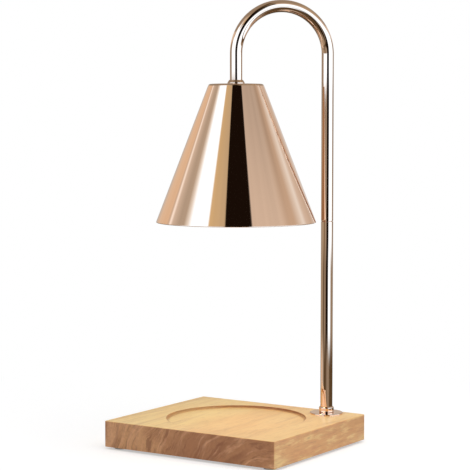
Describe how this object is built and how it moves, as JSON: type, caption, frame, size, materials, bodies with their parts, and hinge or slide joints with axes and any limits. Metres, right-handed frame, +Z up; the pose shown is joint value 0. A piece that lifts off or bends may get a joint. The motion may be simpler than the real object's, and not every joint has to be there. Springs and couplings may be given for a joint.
{
  "type": "candle warmer lamp",
  "caption": "Candle warmer lamp: wooden base with a candle recess, gooseneck pole and a conical metal shade over a reflector bulb.",
  "frame": {"origin": "middle of the base's footprint, on the surface that the feet stand on; the axis of the shade, the bulb and the candle recess passes through it", "axes": "+X along the base's long edge, towards the side where the pole stands; +Y towards the back, where the pole and the cord gland are; +Z up along the pole"},
  "size_m": [0.154, 0.135, 0.345],
  "materials": {
    "oak": "satin",
    "rose_gold": "mirror-polished plating",
    "zinc_steel": "zinc plated",
    "brass": "plain",
    "black_plastic": "matte",
    "cream_plastic": "matte",
    "silicone": "matte",
    "lead_sheath": "matte",
    "ceramic": "unglazed",
    "reflector_glass": "aluminised",
    "clear_glass": "clear"
  },
  "bodies": {
    "root": {"base_block": "oak", "bottom_cover": "black_plastic", "cover_screws": "zinc_steel", "feet": "silicone", "cord_gland": "black_plastic", "terminal_block": "cream_plastic", "pole_flange": "rose_gold", "pole_collar": "rose_gold", "base_stud": "zinc_steel", "base_washer": "zinc_steel", "base_nut": "zinc_steel", "lower_pole": "rose_gold", "pole_bush": "brass", "lower_lead": "lead_sheath"},
    "arm": {"arm_stud": "zinc_steel", "gooseneck": "rose_gold", "upper_lead": "lead_sheath", "shade": "rose_gold", "shade_ring_nut": "rose_gold", "holder_nipple": "zinc_steel", "holder_nut": "zinc_steel", "holder_bracket": "zinc_steel", "lampholder": "ceramic", "holder_screws": "zinc_steel", "holder_contacts": "brass"},
    "bulb": {"bulb_reflector": "reflector_glass", "bulb_lens": "clear_glass", "bulb_base": "ceramic", "bulb_pins": "zinc_steel", "bulb_capsule": "clear_glass"}
  },
  "joints": [
    {"name": "arm_swivel", "type": "hinge", "parent": "root", "child": "arm", "pos_m": [0.05, 0.0535, 0.1737], "axis": [0, 0, 1], "range_deg": [-90, 90]},
    {"name": "bulb_twist", "type": "hinge", "parent": "arm", "child": "bulb", "pos_m": [0, 0, 0.2566], "axis": [0, 0, -1], "range_deg": [0, 30]}
  ]
}
